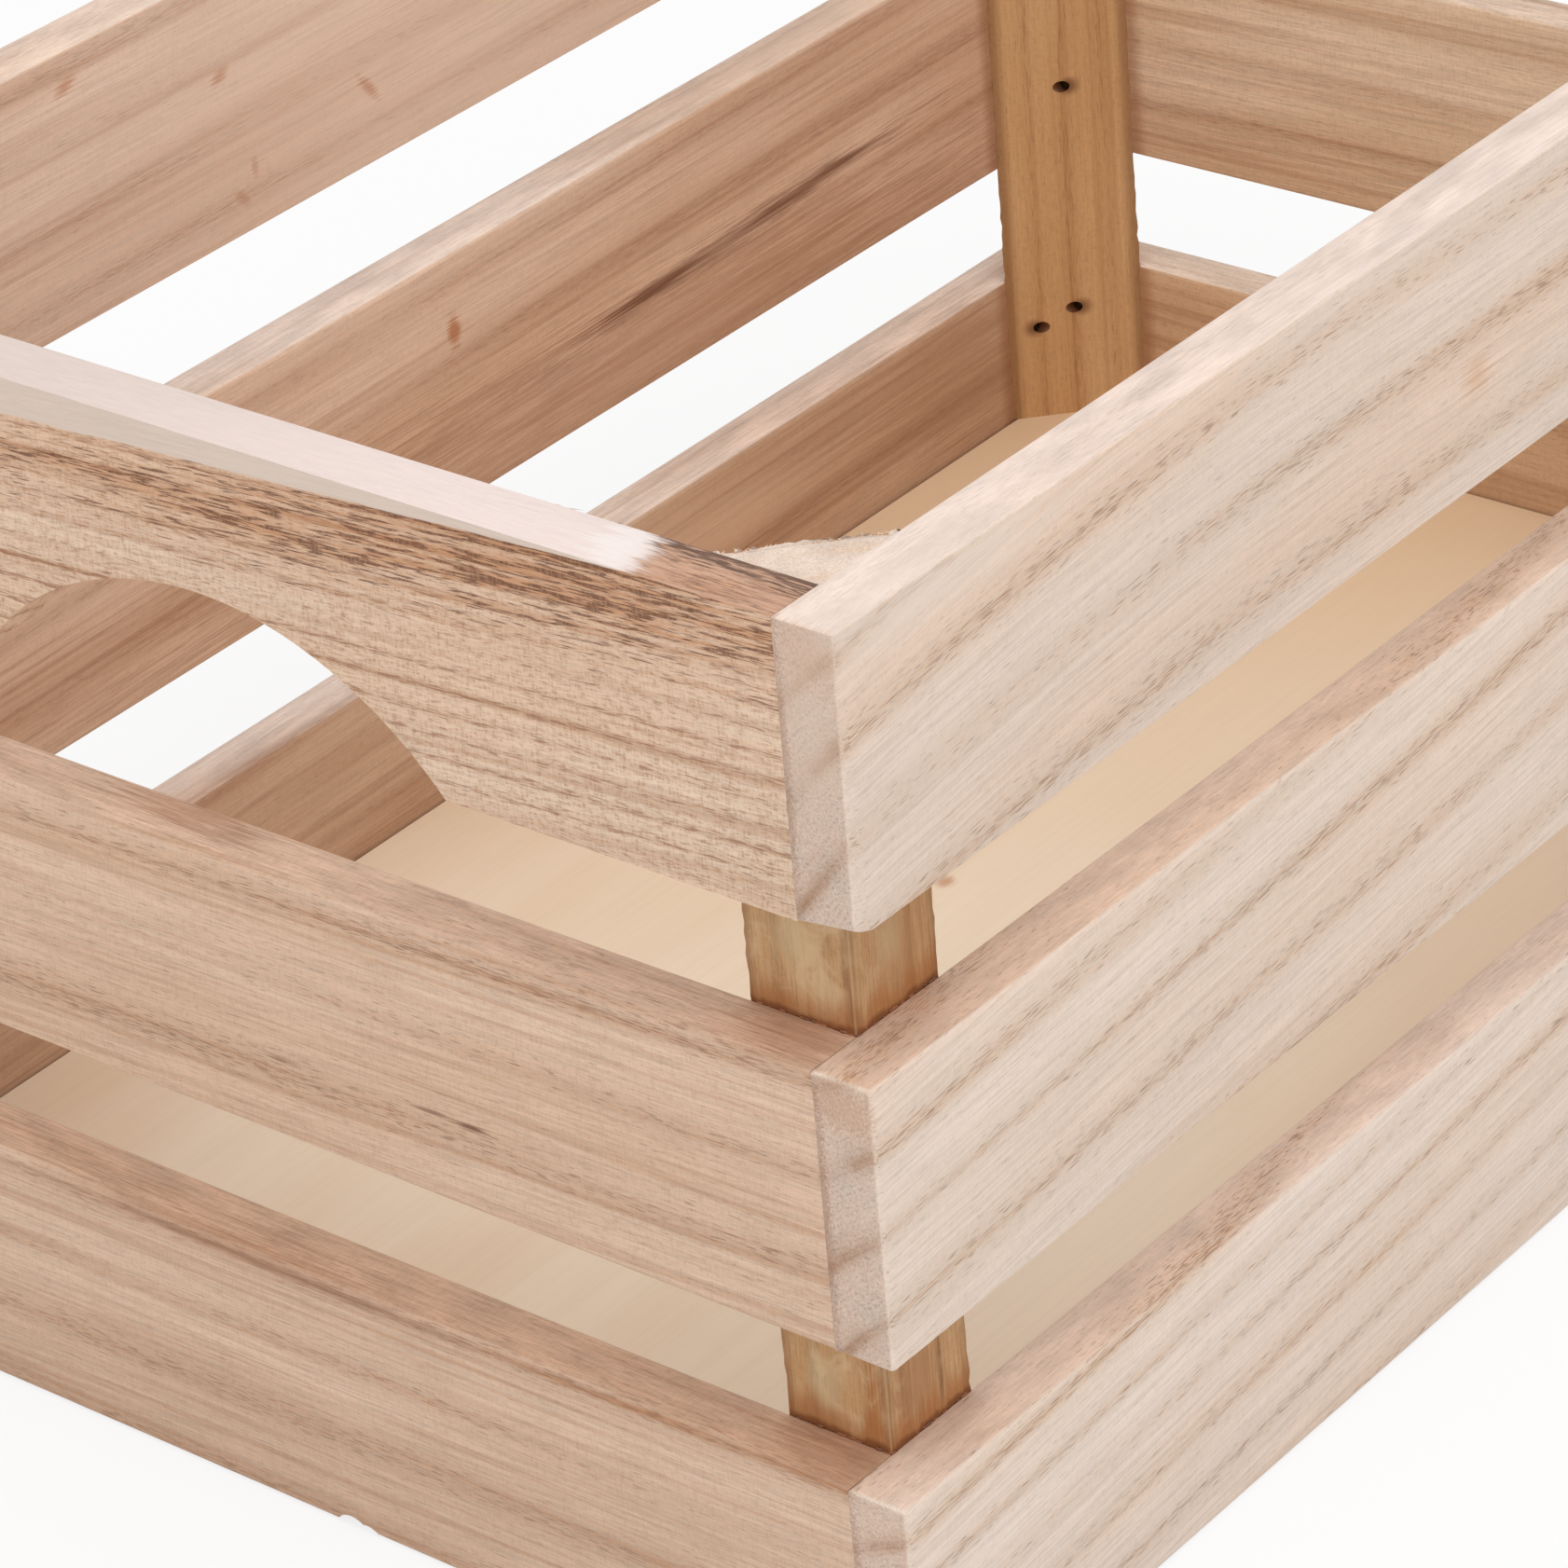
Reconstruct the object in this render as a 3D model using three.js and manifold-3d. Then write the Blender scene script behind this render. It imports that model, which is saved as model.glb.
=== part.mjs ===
import * as THREE from 'three';
import { mergeVertices } from 'three/addons/utils/BufferGeometryUtils.js';
import Module from 'manifold-3d';

// An open slatted storage crate. Three rows of slats stand one over the other with a gap between.
// In each row the two long side slats cover the ends of the two end slats, and all four are held
// by triangular posts in the corners, which stand on a raised plywood floor. Brads run from the
// slanted face of each post into the slats, and from under the floor into the foot of each post.
// Millimetres, +Z up, +X along the long sides. The origin is on the table, under the crate's middle.

// Slats
const CRATE_LENGTH = 305; // outside, along the side slats
const CRATE_WIDTH = 202; // outside, over both side slats
const SLAT_HEIGHT = 40;
const SLAT_THICKNESS = 8.8;
const ROW_GAP = 20.5; // open space between two rows

// Hand-hold: a round arch cut up from the lower edge of each top end slat
const HAND_HOLD_RADIUS = 50;
const HAND_HOLD_RISE = 18; // height of the arch over the slat's lower edge
const ARCH_SEGMENTS = 36;

// Corner posts: right triangles in plan, with the right angle in the crate's corner
const POST_LEG = 16;

// Floor
const FLOOR_THICKNESS = 4;
const FLOOR_TOP = 14.5; // upper face of the floor over the table
const FLOOR_CLEARANCE = 0.3; // between the floor's edges and the slats

// Brads
const BRAD_DIAMETER = 1.4;
const BRAD_POINT = 1.6; // length of the tapered tip
const BRAD_SINK = 1; // from the wood's face down to the brad's head
const BRAD_COVER = 2.8; // slat wood left in front of a brad's tip
const BRAD_CLEARANCE = 0.3; // from a brad to the wood all round it
const BRAD_SIDES = 10;
const SIDE_BRAD_POST_DEPTH = 4; // post wood that a brad passes on its way to a side slat
const SIDE_BRAD_DROP = 9; // under the slat's upper edge
const END_BRAD_DROP = 6; // under the slat's upper edge, in the bottom and top rows
const MIDDLE_BRAD_RISE = 13.5; // over the lower edge of the middle row's end slat
const FLOOR_BRAD_LENGTH = 14;

// Sizes that follow from the ones above
const ROW_NAMES = ['bottom', 'middle', 'top'];
const ROW_PITCH = SLAT_HEIGHT + ROW_GAP;
const CRATE_HEIGHT = SLAT_HEIGHT + ROW_PITCH * (ROW_NAMES.length - 1);
const INNER_X = CRATE_LENGTH / 2 - SLAT_THICKNESS; // inner face of an end slat
const INNER_Y = CRATE_WIDTH / 2 - SLAT_THICKNESS; // inner face of a side slat
const HOLE_RADIUS = BRAD_DIAMETER / 2 + BRAD_CLEARANCE;

const SIDES = [
  { name: 'front', sign: -1 },
  { name: 'back', sign: 1 },
];
const ENDS = [
  { name: 'left', sign: -1 },
  { name: 'right', sign: 1 },
];
const rows = ROW_NAMES.map((name, index) => ({ name, base: index * ROW_PITCH }));

// Finishes
const SLAT_COLORS = { front: 0xe2cdb4, back: 0xcda988, left: 0xd9b78f, right: 0xc9a582 };
const SLAT_ROUGHNESS = 0.75;
const POST_COLOR = 0xb98a55;
const POST_ROUGHNESS = 0.7;
const FLOOR_COLOR = 0xecd6ac;
const FLOOR_ROUGHNESS = 0.65;
const BRAD_COLOR = 0x6d655c;
const BRAD_ROUGHNESS = 0.4;

function wood(color, roughness) {
  return new THREE.MeshStandardMaterial({ color, roughness, metalness: 0 });
}

function steel(color, roughness) {
  return new THREE.MeshStandardMaterial({ color, roughness, metalness: 1 });
}

const wasm = await Module();
wasm.setup();

function toSolid(geometry) {
  const bare = geometry.clone();
  bare.deleteAttribute('normal');
  bare.deleteAttribute('uv');
  const merged = mergeVertices(bare);
  return new wasm.Manifold(
    new wasm.Mesh({
      numProp: 3,
      vertProperties: new Float32Array(merged.attributes.position.array),
      triVerts: new Uint32Array(merged.index.array),
    }),
  );
}

function toGeometry(solid) {
  const mesh = solid.getMesh();
  const geometry = new THREE.BufferGeometry();
  geometry.setAttribute('position', new THREE.BufferAttribute(mesh.vertProperties, 3));
  geometry.setIndex(new THREE.BufferAttribute(mesh.triVerts, 1));
  geometry.computeVertexNormals();
  return geometry;
}

// Brads. Each has the middle of its head, the way that it was driven, its length, and the names
// of the two pieces that it holds together.

function cornerBrads(side, end) {
  const brads = [];
  const post = `post_${side.name}_${end.name}`;
  const corner = `${side.name}_${end.name}`;
  const bite = SLAT_THICKNESS - BRAD_COVER;
  const endDepth = POST_LEG / 2; // the end brads enter at the middle of the slanted face
  const intoSide = new THREE.Vector3(0, side.sign, 0);
  const intoEnd = new THREE.Vector3(end.sign, 0, 0);

  for (const row of rows) {
    const upperEdge = row.base + SLAT_HEIGHT;
    const isMiddle = row.name === 'middle';

    if (!isMiddle) {
      brads.push({
        name: `brad_${corner}_${row.name}_side`,
        head: new THREE.Vector3(
          end.sign * (INNER_X - (POST_LEG - SIDE_BRAD_POST_DEPTH)),
          side.sign * (INNER_Y - SIDE_BRAD_POST_DEPTH + BRAD_SINK),
          upperEdge - SIDE_BRAD_DROP,
        ),
        direction: intoSide,
        length: SIDE_BRAD_POST_DEPTH - BRAD_SINK + bite,
        holds: [post, `${side.name}_slat_${row.name}`],
      });
    }

    brads.push({
      name: `brad_${corner}_${row.name}_end`,
      head: new THREE.Vector3(
        end.sign * (INNER_X - endDepth + BRAD_SINK),
        side.sign * (INNER_Y - (POST_LEG - endDepth)),
        isMiddle ? row.base + MIDDLE_BRAD_RISE : upperEdge - END_BRAD_DROP,
      ),
      direction: intoEnd,
      length: endDepth - BRAD_SINK + bite,
      holds: [post, `${end.name}_slat_${row.name}`],
    });
  }

  const footMiddle = POST_LEG / 3; // from both slats to the middle of the post's triangle
  brads.push({
    name: `floor_brad_${corner}`,
    head: new THREE.Vector3(
      end.sign * (INNER_X - footMiddle),
      side.sign * (INNER_Y - footMiddle),
      FLOOR_TOP - FLOOR_THICKNESS + BRAD_SINK,
    ),
    direction: new THREE.Vector3(0, 0, 1),
    length: FLOOR_BRAD_LENGTH,
    holds: ['floor_panel', post],
  });
  return brads;
}

const allBrads = SIDES.flatMap((side) => ENDS.flatMap((end) => cornerBrads(side, end)));

// The turn that takes +Y, the axis of three.js round geometry, to the way a brad was driven
function turnTo(direction) {
  return new THREE.Quaternion().setFromUnitVectors(new THREE.Vector3(0, 1, 0), direction);
}

// A brad's hole: clear of the brad all round and at its tip, and open at the wood's face
function holeSolid(brad) {
  const mouth = BRAD_SINK + 2 * HOLE_RADIUS; // enough to leave a slanted face
  const length = mouth + brad.length + BRAD_CLEARANCE;
  const geometry = new THREE.CylinderGeometry(HOLE_RADIUS, HOLE_RADIUS, length, BRAD_SIDES);
  geometry.translate(0, length / 2 - mouth, 0);
  geometry.applyQuaternion(turnTo(brad.direction));
  geometry.translate(brad.head.x, brad.head.y, brad.head.z);
  return toSolid(geometry);
}

// Cuts the holes of every brad that holds the named piece. The geometry is drawn round its own
// origin, and place is where that origin goes in the crate.
function drilled(name, geometry, place) {
  let solid = toSolid(geometry).translate([place.x, place.y, place.z]);
  for (const brad of allBrads) {
    if (brad.holds.includes(name)) solid = solid.subtract(holeSolid(brad));
  }
  return toGeometry(solid.translate([-place.x, -place.y, -place.z]));
}

const crate = new THREE.Group();

function addPiece(name, geometry, place, material) {
  const mesh = new THREE.Mesh(geometry, material);
  mesh.name = name;
  mesh.position.copy(place);
  crate.add(mesh);
}

function addWood(name, geometry, place, material) {
  addPiece(name, drilled(name, geometry, place), place, material);
}

// Side slats, the full length of the crate

function addSideSlat(side, row) {
  const geometry = new THREE.BoxGeometry(CRATE_LENGTH, SLAT_THICKNESS, SLAT_HEIGHT);
  const place = new THREE.Vector3(
    0,
    side.sign * (INNER_Y + SLAT_THICKNESS / 2),
    row.base + SLAT_HEIGHT / 2,
  );
  const material = wood(SLAT_COLORS[side.name], SLAT_ROUGHNESS);
  addWood(`${side.name}_slat_${row.name}`, geometry, place, material);
}

// End slats, from one side slat to the other

function handHoldGeometry() {
  const halfLength = INNER_Y;
  const halfHeight = SLAT_HEIGHT / 2;
  const centreHeight = HAND_HOLD_RISE - HAND_HOLD_RADIUS - halfHeight;
  const footAngle = Math.asin((HAND_HOLD_RADIUS - HAND_HOLD_RISE) / HAND_HOLD_RADIUS);

  const outline = new THREE.Shape();
  outline.moveTo(-halfLength, halfHeight);
  outline.lineTo(-halfLength, -halfHeight);
  outline.absarc(0, centreHeight, HAND_HOLD_RADIUS, Math.PI - footAngle, footAngle, true);
  outline.lineTo(halfLength, -halfHeight);
  outline.lineTo(halfLength, halfHeight);
  outline.closePath();

  const geometry = new THREE.ExtrudeGeometry(outline, {
    depth: SLAT_THICKNESS,
    bevelEnabled: false,
    curveSegments: ARCH_SEGMENTS,
  });
  geometry.translate(0, 0, -SLAT_THICKNESS / 2);

  // The outline was drawn in X and Y: its width goes along Y, its height up and its depth along X
  const alongY = new THREE.Vector3(0, 1, 0);
  const up = new THREE.Vector3(0, 0, 1);
  const alongX = new THREE.Vector3(1, 0, 0);
  return geometry.applyMatrix4(new THREE.Matrix4().makeBasis(alongY, up, alongX));
}

function addEndSlat(end, row) {
  const plain = new THREE.BoxGeometry(SLAT_THICKNESS, 2 * INNER_Y, SLAT_HEIGHT);
  const geometry = row.name === 'top' ? handHoldGeometry() : plain;
  const place = new THREE.Vector3(
    end.sign * (INNER_X + SLAT_THICKNESS / 2),
    0,
    row.base + SLAT_HEIGHT / 2,
  );
  const material = wood(SLAT_COLORS[end.name], SLAT_ROUGHNESS);
  addWood(`${end.name}_slat_${row.name}`, geometry, place, material);
}

// Corner posts, from the floor to the upper edge of the top row

function addPost(side, end) {
  const length = CRATE_HEIGHT - FLOOR_TOP;
  const triangle = new THREE.Shape();
  triangle.moveTo(0, 0);
  triangle.lineTo(-end.sign * POST_LEG, 0);
  triangle.lineTo(0, -side.sign * POST_LEG);
  triangle.closePath();
  const geometry = new THREE.ExtrudeGeometry(triangle, { depth: length, bevelEnabled: false });
  const place = new THREE.Vector3(end.sign * INNER_X, side.sign * INNER_Y, FLOOR_TOP);
  addWood(`post_${side.name}_${end.name}`, geometry, place, wood(POST_COLOR, POST_ROUGHNESS));
}

// Floor, inside the bottom row and under the posts

function addFloor() {
  const geometry = new THREE.BoxGeometry(
    2 * (INNER_X - FLOOR_CLEARANCE),
    2 * (INNER_Y - FLOOR_CLEARANCE),
    FLOOR_THICKNESS,
  );
  const place = new THREE.Vector3(0, 0, FLOOR_TOP - FLOOR_THICKNESS / 2);
  addWood('floor_panel', geometry, place, wood(FLOOR_COLOR, FLOOR_ROUGHNESS));
}

function addBrad(brad) {
  const radius = BRAD_DIAMETER / 2;
  const profile = [
    new THREE.Vector2(0, 0),
    new THREE.Vector2(radius, 0),
    new THREE.Vector2(radius, brad.length - BRAD_POINT),
    new THREE.Vector2(0, brad.length),
  ];
  const geometry = new THREE.LatheGeometry(profile, BRAD_SIDES);
  geometry.applyQuaternion(turnTo(brad.direction));
  addPiece(brad.name, geometry, brad.head, steel(BRAD_COLOR, BRAD_ROUGHNESS));
}

for (const row of rows) {
  for (const side of SIDES) addSideSlat(side, row);
  for (const end of ENDS) addEndSlat(end, row);
}
for (const side of SIDES) {
  for (const end of ENDS) addPost(side, end);
}
addFloor();
for (const brad of allBrads) addBrad(brad);

export default crate;
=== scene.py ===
"""An open storage crate of sawn slats on triangular corner posts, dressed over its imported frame.

Metres, +Z up, +X along the long sides. The origin is on the table, under the crate's middle.
"""

import random
from contextlib import contextmanager
from dataclasses import dataclass, field, replace
from math import cos, pi, radians, sin

import bpy
from mathutils import Euler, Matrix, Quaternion, Vector


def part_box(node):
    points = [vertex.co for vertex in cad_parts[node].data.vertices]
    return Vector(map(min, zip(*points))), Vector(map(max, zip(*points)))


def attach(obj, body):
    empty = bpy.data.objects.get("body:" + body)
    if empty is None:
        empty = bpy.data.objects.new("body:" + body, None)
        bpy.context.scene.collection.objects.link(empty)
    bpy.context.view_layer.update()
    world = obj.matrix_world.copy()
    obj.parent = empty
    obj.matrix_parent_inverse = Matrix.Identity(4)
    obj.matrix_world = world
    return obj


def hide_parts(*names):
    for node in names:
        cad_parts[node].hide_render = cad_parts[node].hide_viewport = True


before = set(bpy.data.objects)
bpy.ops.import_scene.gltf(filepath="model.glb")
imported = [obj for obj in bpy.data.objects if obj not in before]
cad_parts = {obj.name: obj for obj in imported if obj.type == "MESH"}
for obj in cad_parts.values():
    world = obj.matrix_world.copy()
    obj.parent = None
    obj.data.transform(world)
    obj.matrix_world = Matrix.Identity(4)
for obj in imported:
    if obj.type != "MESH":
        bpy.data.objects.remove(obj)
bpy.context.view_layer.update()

MM = 0.001
X_AXIS, Y_AXIS, Z_AXIS = 0, 1, 2
UPWARDS = Vector((0, 0, 1))

# The crate's pieces, by the names of the frame
SIDES = ("front", "back")
ENDS = ("left", "right")
ROWS = ("bottom", "middle", "top")
SIDE_SLATS = [f"{side}_slat_{row}" for side in SIDES for row in ROWS]
END_SLATS = [f"{end}_slat_{row}" for end in ENDS for row in ROWS]
POSTS = [f"post_{side}_{end}" for side in SIDES for end in ENDS]
BRADS = [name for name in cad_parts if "brad" in name]

# Sizes that the frame's boxes don't give
HAND_HOLD_RISE, HAND_HOLD_RADIUS = 18 * MM, 50 * MM
HAND_HOLD_SIDES = 192
CHIPS = [(-5.6 * MM, 1.6 * MM, 3.4 * MM), (-8.4 * MM, 1.1 * MM, 2.4 * MM)]  # place, rise and radius
CHIP_SIDES = 40
SAW_SPARE = 2 * MM
BRAD_HOLE_RADIUS = 1.0 * MM
BRAD_HOLE_MOUTH = 3.0 * MM
BRAD_HOLE_SPARE = 0.3 * MM
BRAD_HOLE_SIDES = 24
POST_DROP = 0.4 * MM  # from the top of a post's box to the post's upper end
STATION, POST_STATION = 6 * MM, 1.5 * MM  # from cut to cut along the grain
NEAR = 0.5 * MM  # a point this close to a face or an edge counts as lying on it
SHARP = radians(35)

# Wear: the least and most that an edge is eased, and how rough a sawn end is
JOINT_EDGE = (0.01 * MM, 0.02 * MM)
FRESH_EDGE = (0.2 * MM, 0.5 * MM)
RUBBED_EDGE = (0.6 * MM, 1.0 * MM)
ROUNDED_EDGE = (1.0 * MM, 1.6 * MM)
POST_EDGE = (0.15 * MM, 0.5 * MM)
UNWORN_EDGE = (0.0, 0.0)
FLOOR_EDGE = (0.15 * MM, 0.3 * MM)
FLOOR_SEED = 40
EDGE_SEGMENTS = 3
RUB_START = -50 * MM  # along the near end's top slat
FRAY_STRIP = 1.0 * MM
FRAY_SIDES, FRAY_TOP = 0.13 * MM, 0.3 * MM
FRAY_CUTS = 24

# How far the lower left corner of the front's top slat is rubbed down, by the distance from its end
CORNER_CUTS = (1.3 * MM, 3.0 * MM)
CORNER_WEAR = [
    (0.0, (0.3 * MM, 0.7 * MM, 1.0 * MM)),
    (1.3 * MM, (0.0, 0.35 * MM, 0.45 * MM)),
]


@dataclass
class Tear:
    """Torn fibres along an edge: their number, and the least and most of what is drawn for each."""

    number: int
    inside: float  # from the face that looks into the crate to the root
    below: float  # from the upper edge to the root
    places: tuple  # along the edge
    turns: tuple
    rises: tuple
    lengths: tuple  # in millimetres
    widths: tuple  # in millimetres


SLAT_TEAR = Tear(
    14, 0.15 * MM, 0.5 * MM, (-60 * MM, -30 * MM), (0.04, 0.22), (-0.03, 0.03), (2.0, 6.0), (0.2, 0.4)
)
POST_TEAR = Tear(44, 0.3 * MM, 0.15 * MM, (-0.9, 0.9), (-1.2, 1.2), (-0.1, 0.28), (0.5, 1.2), (0.2, 0.5))
SLAT_TEAR_SEED = 11
SPLINTER_SIDES = 5

# A bead of dried glue
GLUE_SEED = 7
GLUE_LENGTH = 15.5 * MM
GLUE_LUMPS = 11
GLUE_RISES = (-0.1, 0.1)  # in millimetres
GLUE_STEPS = (0.2, 0.8)
GLUE_SIZES = (0.12 * MM, 0.42 * MM)
GLUE_STRETCH = (1.2, 2.6)
GLUE_VOXEL = 0.1 * MM
GLUE_SETTLING = 4


def box_of(node):
    low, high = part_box(node)
    return Vector(low), Vector(high)


def middle_of(node):
    low, high = box_of(node)
    return (low + high) / 2


INNER_X = box_of("right_slat_bottom")[0].x
INNER_Y = box_of("back_slat_bottom")[0].y
POST_LEG = INNER_X - box_of("post_back_right")[0].x
FLOOR_TOP = box_of("floor_panel")[1].z
GAP_BOTTOMS = {row: box_of(f"front_slat_{row}")[1].z for row in ("bottom", "middle")}


# Modelling


def make_active(piece):
    bpy.ops.object.select_all(action="DESELECT")
    piece.select_set(True)
    bpy.context.view_layer.objects.active = piece


@contextmanager
def editing(piece):
    """Opens a piece's mesh for the edit-mode tools."""
    make_active(piece)
    bpy.ops.object.mode_set(mode="EDIT")
    yield
    bpy.ops.object.mode_set(mode="OBJECT")


def settle_object():
    """Puts the place of the object in hand into its mesh."""
    bpy.ops.object.transform_apply()
    return bpy.context.object


def name_piece(piece, name):
    piece.name = name
    piece.data.name = name
    return piece


def add_block(name, low, high):
    """A sawn block between two corners."""
    bpy.ops.mesh.primitive_cube_add(size=1, location=(low + high) / 2, scale=high - low)
    return name_piece(settle_object(), name)


def add_rod(radius, start, end, axis, sides):
    """A round bar along one axis, used as a drill or a saw."""
    turns = {X_AXIS: (0, pi / 2, 0), Y_AXIS: (pi / 2, 0, 0), Z_AXIS: (0, 0, 0)}
    bpy.ops.mesh.primitive_cylinder_add(
        vertices=sides,
        radius=radius,
        depth=abs(end[axis] - start[axis]),
        location=(start + end) / 2,
        rotation=turns[axis],
    )
    return settle_object()


def add_modifier(piece, kind, **settings):
    modifier = piece.modifiers.new(kind.title(), kind)
    for setting, value in settings.items():
        setattr(modifier, setting, value)
    return modifier


def apply_modifiers(piece):
    make_active(piece)
    for modifier in list(piece.modifiers):
        bpy.ops.object.modifier_apply(modifier=modifier.name)


def subtract(piece, cutter):
    add_modifier(piece, "BOOLEAN", operation="DIFFERENCE", solver="EXACT", object=cutter)
    apply_modifiers(piece)
    bpy.data.objects.remove(cutter)


def clear_picks(piece, kind):
    """Clears the selection of a piece's mesh, ready to be picked anew."""
    with editing(piece):
        bpy.ops.mesh.select_mode(type=kind)
        bpy.ops.mesh.select_all(action="DESELECT")


def pick_points(piece, wanted):
    """Selects the points that satisfy a test, ready for an edit-mode tool."""
    clear_picks(piece, "VERT")
    for point in piece.data.vertices:
        point.select = wanted(point.co)


def edge_ends(piece, edge):
    return [piece.data.vertices[index].co for index in edge.vertices]


def divide_edges(piece, wanted, cuts):
    """Divides the edges whose two ends satisfy a test."""
    clear_picks(piece, "EDGE")
    for edge in piece.data.edges:
        edge.select = wanted(*edge_ends(piece, edge))
    with editing(piece):
        bpy.ops.mesh.subdivide(number_cuts=cuts)


def slice_mesh(piece, cuts, **options):
    """Slices a mesh along planes, each given by a point and the way it faces."""
    with editing(piece):
        for place, way in cuts:
            bpy.ops.mesh.select_all(action="SELECT")
            bpy.ops.mesh.bisect(plane_co=place, plane_no=way, **options)


def nudge(piece, place, reach, move):
    """Moves the points within reach of a place."""
    pick_points(piece, lambda point: (point - place).length < reach)
    with editing(piece):
        bpy.ops.transform.translate(value=move)


def fray(piece, wanted, distance, seed):
    """Moves the chosen points of a piece a little, each its own way."""
    pick_points(piece, wanted)
    with editing(piece):
        bpy.ops.transform.vertex_random(offset=distance, uniform=1.0, normal=0.0, seed=seed)


def cut_stations(piece, axis, spacing):
    """Divides a piece along its grain, so that its edges can wear unevenly."""
    places = [point.co[axis] for point in piece.data.vertices]
    length = max(places) - min(places)

    def runs_along(first, second):
        span = second - first
        return abs(span[axis]) > 0.99 * span.length

    divide_edges(piece, runs_along, int(length / spacing))


def at_joint(point):
    """Whether a point lies where a slat touches another slat or a post."""
    by_side = abs(abs(point.y) - INNER_Y) < NEAR and abs(point.x) > INNER_X - POST_LEG
    by_end = abs(abs(point.x) - INNER_X) < NEAR and abs(point.y) > INNER_Y - POST_LEG
    return by_side or by_end


def slat_wear(node):
    """How far the edges of a slat are eased, by the place on the slat."""
    top = box_of(node)[1].z

    def wear(point):
        upper = point.z > top - NEAR
        outer = abs(point.x) > INNER_X + NEAR and abs(point.y) < INNER_Y
        if at_joint(point):
            return JOINT_EDGE
        if node == "left_slat_top" and upper and not outer and point.y > RUB_START:
            return ROUNDED_EDGE
        if node.endswith("top"):
            return FRESH_EDGE
        if node in END_SLATS and upper and outer:
            return ROUNDED_EDGE
        return RUBBED_EDGE

    return wear


def post_wear(face):
    """How far the edges of a post are eased: only its square corner is worn."""
    return lambda point: POST_EDGE if face.on_square_corner(point) else UNWORN_EDGE


def wear_edges(piece, wear, seed):
    """Eases every sharp edge by an amount that changes along it."""
    clear_picks(piece, "EDGE")
    with editing(piece):
        bpy.ops.mesh.edges_select_sharp(sharpness=SHARP)
    draw = random.Random(seed)
    widths = {}
    for edge in piece.data.edges:
        if edge.select:
            first, second = edge_ends(piece, edge)
            widths[edge.index] = draw.uniform(*wear((first + second) / 2))
    widest = max(widths.values())
    bevel = add_modifier(piece, "BEVEL", limit_method="WEIGHT", width=widest, segments=EDGE_SEGMENTS)
    weights = piece.data.attributes.new("bevel_weight_edge", "FLOAT", "EDGE")
    for index, width in widths.items():
        weights.data[index].value = width / bevel.width
    apply_modifiers(piece)


def drill_brad_holes(piece, node):
    """Cuts the hole of every brad that reaches into a node's box."""
    low, high = box_of(node)
    for brad in BRADS:
        start, end = box_of(brad)
        if any(end[i] < low[i] or start[i] > high[i] for i in range(3)):
            continue
        axis = max(range(3), key=lambda i: end[i] - start[i])
        middle = (start + end) / 2
        first, last = middle.copy(), middle.copy()
        outwards = 1 if axis == Z_AXIS or middle[axis] > 0 else -1
        first[axis] = (start if outwards > 0 else end)[axis] - outwards * BRAD_HOLE_MOUTH
        last[axis] = (end if outwards > 0 else start)[axis] + outwards * BRAD_HOLE_SPARE
        subtract(piece, add_rod(BRAD_HOLE_RADIUS, first, last, axis, BRAD_HOLE_SIDES))


def finish_piece(piece, material, node=None):
    """Shades a piece, gives it its material and, where it stands for a node, puts it in its place."""
    make_active(piece)
    bpy.ops.object.shade_smooth_by_angle(angle=SHARP)
    piece.data.materials.append(material)
    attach(piece, "root")
    if node:
        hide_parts(node)


def saw_arch(piece, node, place, rise, radius, sides):
    """Saws a round arch up from an end slat's lower edge, at a place along the slat."""
    low, high = box_of(node)
    height = low.z + rise - radius
    start = Vector((low.x - SAW_SPARE, place, height))
    end = Vector((high.x + SAW_SPARE, place, height))
    subtract(piece, add_rod(radius, start, end, X_AXIS, sides))


def round_lower_corner(piece, node):
    """Rubs down the lower outer corner at a slat's left end."""
    corner = box_of(node)[0]
    slice_mesh(piece, [(corner + Vector((distance, 0, 0)), (1, 0, 0)) for distance in CORNER_CUTS])
    for distance, move in CORNER_WEAR:
        nudge(piece, corner + Vector((distance, 0, 0)), NEAR, move)


def model_slat(node, axis):
    piece = add_block(f"{node}_wood", *box_of(node))
    cut_stations(piece, axis, STATION)
    return piece


@dataclass
class SlantedFace:
    """The face of a post that looks into the crate."""

    middle: Vector
    inwards: Vector
    across: Vector
    half_width: float
    top: float

    def near(self, point):
        return abs((point - self.middle).dot(self.inwards)) < NEAR

    def clear_of_ends(self, point):
        return abs((point - self.middle).dot(self.across)) < self.half_width - NEAR

    def on_thin_edge(self, point):
        """Whether a point lies on one of the two thin edges, which touch the slats."""
        return self.near(point) and not self.clear_of_ends(point)

    def on_top_edge(self, point):
        """Whether a point lies on the sawn upper edge."""
        return self.near(point) and point.z > self.top - NEAR

    def on_open_top_edge(self, point):
        return self.on_top_edge(point) and self.clear_of_ends(point)

    def along_top_edge(self, first, second):
        """Whether the edge between two points is a part of the sawn upper edge."""
        span = second - first
        level = abs(span.dot(self.across)) > 0.9 * span.length
        return level and self.on_top_edge((first + second) / 2)

    def on_square_corner(self, point):
        """Whether a point lies on the edge between the two faces that look out of the crate."""
        return (self.middle - point).dot(self.inwards) > self.half_width - NEAR


def slanted_face(node):
    low, high = box_of(node)
    middle = middle_of(node)
    inwards = Vector((-1 if middle.x > 0 else 1, -1 if middle.y > 0 else 1, 0)).normalized()
    half_width = Vector((high.x - low.x, high.y - low.y)).length / 2
    return SlantedFace(middle, inwards, inwards.cross(UPWARDS), half_width, high.z - POST_DROP)


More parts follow.
